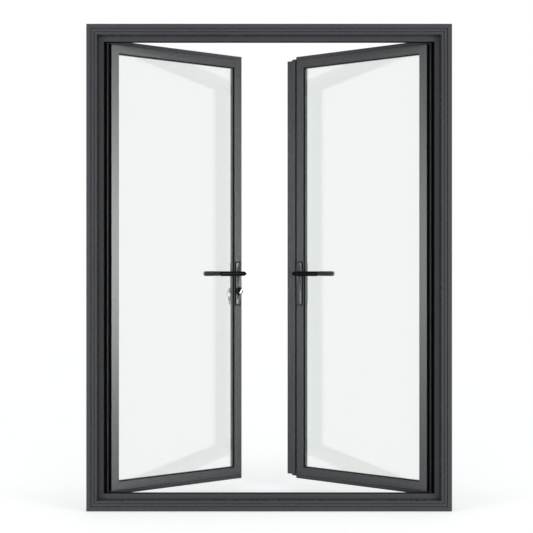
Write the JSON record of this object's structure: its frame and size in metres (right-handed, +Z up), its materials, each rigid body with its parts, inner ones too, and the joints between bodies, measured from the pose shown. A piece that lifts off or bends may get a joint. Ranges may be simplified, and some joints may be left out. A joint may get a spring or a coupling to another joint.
{
  "type": "double-leaf aluminium swing door with frame",
  "caption": "Framed glazed double swing door, both leaves part open, with lever handles, a latch and key-turned lock on one leaf and shoot bolts and a floating mullion on the other.",
  "frame": {"origin": "under the middle of the sill, in the plane of the stop lip's front face", "axes": "+X to the right seen from the room, +Y out of the room the way the leaves open, +Z up"},
  "size_m": [1.65, 0.5725, 2.2],
  "materials": {
    "anthracite_coat": "satin anthracite powder coat over aluminium",
    "black_lever_coat": "satin black powder coat over cast aluminium",
    "black_hinge_coat": "satin black powder coat over steel",
    "black_turn_coat": "satin black",
    "clear_glass": "clear insulating glass",
    "seal_rubber": "matt black",
    "zinc_steel": "zinc-plated steel",
    "nickel_plate": "nickel plate, polished",
    "bare_aluminium": "mill finish",
    "black_plastic": "matt black moulding"
  },
  "bodies": {
    "frame": {"frame_head": "anthracite_coat", "frame_sill": "anthracite_coat", "frame_jamb_left": "anthracite_coat", "frame_jamb_right": "anthracite_coat", "frame_corner_cleats": "bare_aluminium", "frame_stop_gasket": "seal_rubber", "bolt_keeps": "zinc_steel", "left_hinge_frame_leaves": "black_hinge_coat", "right_hinge_frame_leaves": "black_hinge_coat", "hinge_pins": "black_hinge_coat"},
    "left_leaf": {"left_hinge_stile": "anthracite_coat", "left_lock_stile": "anthracite_coat", "left_top_rail": "anthracite_coat", "left_bottom_rail": "anthracite_coat", "left_corner_cleats": "bare_aluminium", "left_glass_panes": "clear_glass", "left_glass_spacer": "bare_aluminium", "left_leaf_gaskets": "seal_rubber", "left_setting_blocks": "black_plastic", "left_glazing_beads": "anthracite_coat", "left_hinge_sash_leaves": "black_hinge_coat", "left_inner_plate": "anthracite_coat", "left_outer_plate": "anthracite_coat", "lock_case": "zinc_steel", "lock_faceplate": "zinc_steel", "lock_cylinder": "black_turn_coat"},
    "left_handle": {"left_inner_lever": "black_lever_coat", "left_outer_lever": "black_lever_coat", "left_spindle": "zinc_steel", "lock_follower": "zinc_steel"},
    "latch": {"latch_bolt": "zinc_steel"},
    "deadbolt": {"dead_bolt": "zinc_steel"},
    "cylinder_core": {"turn_hub": "black_turn_coat", "thumb_turn": "nickel_plate", "key": "nickel_plate", "key_ring": "nickel_plate", "spare_key": "nickel_plate"},
    "right_leaf": {"right_hinge_stile": "anthracite_coat", "right_lock_stile": "anthracite_coat", "right_top_rail": "anthracite_coat", "right_bottom_rail": "anthracite_coat", "right_corner_cleats": "bare_aluminium", "right_glass_panes": "clear_glass", "right_glass_spacer": "bare_aluminium", "right_leaf_gaskets": "seal_rubber", "right_setting_blocks": "black_plastic", "right_glazing_beads": "anthracite_coat", "right_hinge_sash_leaves": "black_hinge_coat", "right_inner_plate": "anthracite_coat", "right_outer_plate": "anthracite_coat", "bolt_gearbox": "zinc_steel", "floating_mullion": "anthracite_coat", "mullion_end_caps": "black_plastic", "mullion_gasket": "seal_rubber", "strike_plate": "zinc_steel"},
    "right_handle": {"right_inner_lever": "black_lever_coat", "right_outer_lever": "black_lever_coat", "right_spindle": "zinc_steel"},
    "upper_bolt": {"top_bolt": "zinc_steel"},
    "lower_bolt": {"bottom_bolt": "zinc_steel"}
  },
  "joints": [
    {"name": "left_swing", "type": "hinge", "parent": "frame", "child": "left_leaf", "pos_m": [-0.785, 0.058, 1.1], "axis": [0, 0, 1], "range_deg": [-35.5, 74.5]},
    {"name": "right_swing", "type": "hinge", "parent": "frame", "child": "right_leaf", "pos_m": [0.785, 0.058, 1.1], "axis": [0, 0, -1], "range_deg": [-35.5, 74.5]},
    {"name": "left_lever_turn", "type": "hinge", "parent": "left_leaf", "child": "left_handle", "pos_m": [-0.16491, 0.45609, 1.07], "axis": [0.5807, -0.8141, 0], "range_deg": [0, 40], "stiffness_Nm_per_rad": 1.5, "springref_deg": -34.38},
    {"name": "latch_slide", "type": "slide", "parent": "left_leaf", "child": "latch", "axis": [-0.8141, -0.5807, 0], "range_m": [0, 0.012]},
    {"name": "cylinder_turn", "type": "hinge", "parent": "left_leaf", "child": "cylinder_core", "pos_m": [-0.16491, 0.45609, 0.985], "axis": [-0.5807, 0.8141, 0], "range_deg": [0, 360]},
    {"name": "deadbolt_slide", "type": "slide", "parent": "left_leaf", "child": "deadbolt", "axis": [0.8141, 0.5807, 0], "range_m": [0, 0.02]},
    {"name": "right_lever_turn", "type": "hinge", "parent": "right_leaf", "child": "right_handle", "pos_m": [0.16491, 0.45609, 1.07], "axis": [0.5807, 0.8141, 0], "range_deg": [0, 90]},
    {"name": "top_bolt_slide", "type": "slide", "parent": "right_leaf", "child": "upper_bolt", "axis": [0, 0, 1], "range_m": [0, 0.03]},
    {"name": "bottom_bolt_slide", "type": "slide", "parent": "right_leaf", "child": "lower_bolt", "axis": [0, 0, -1], "range_m": [0, 0.03]}
  ],
  "couplings": [
    {"joint": "latch_slide", "follows": "left_lever_turn", "m_per_rad": 0.017189},
    {"joint": "deadbolt_slide", "follows": "cylinder_turn", "m_per_rad": 0.0031831},
    {"joint": "top_bolt_slide", "follows": "right_lever_turn", "m_per_rad": 0.019099},
    {"joint": "bottom_bolt_slide", "follows": "right_lever_turn", "m_per_rad": 0.019099}
  ]
}
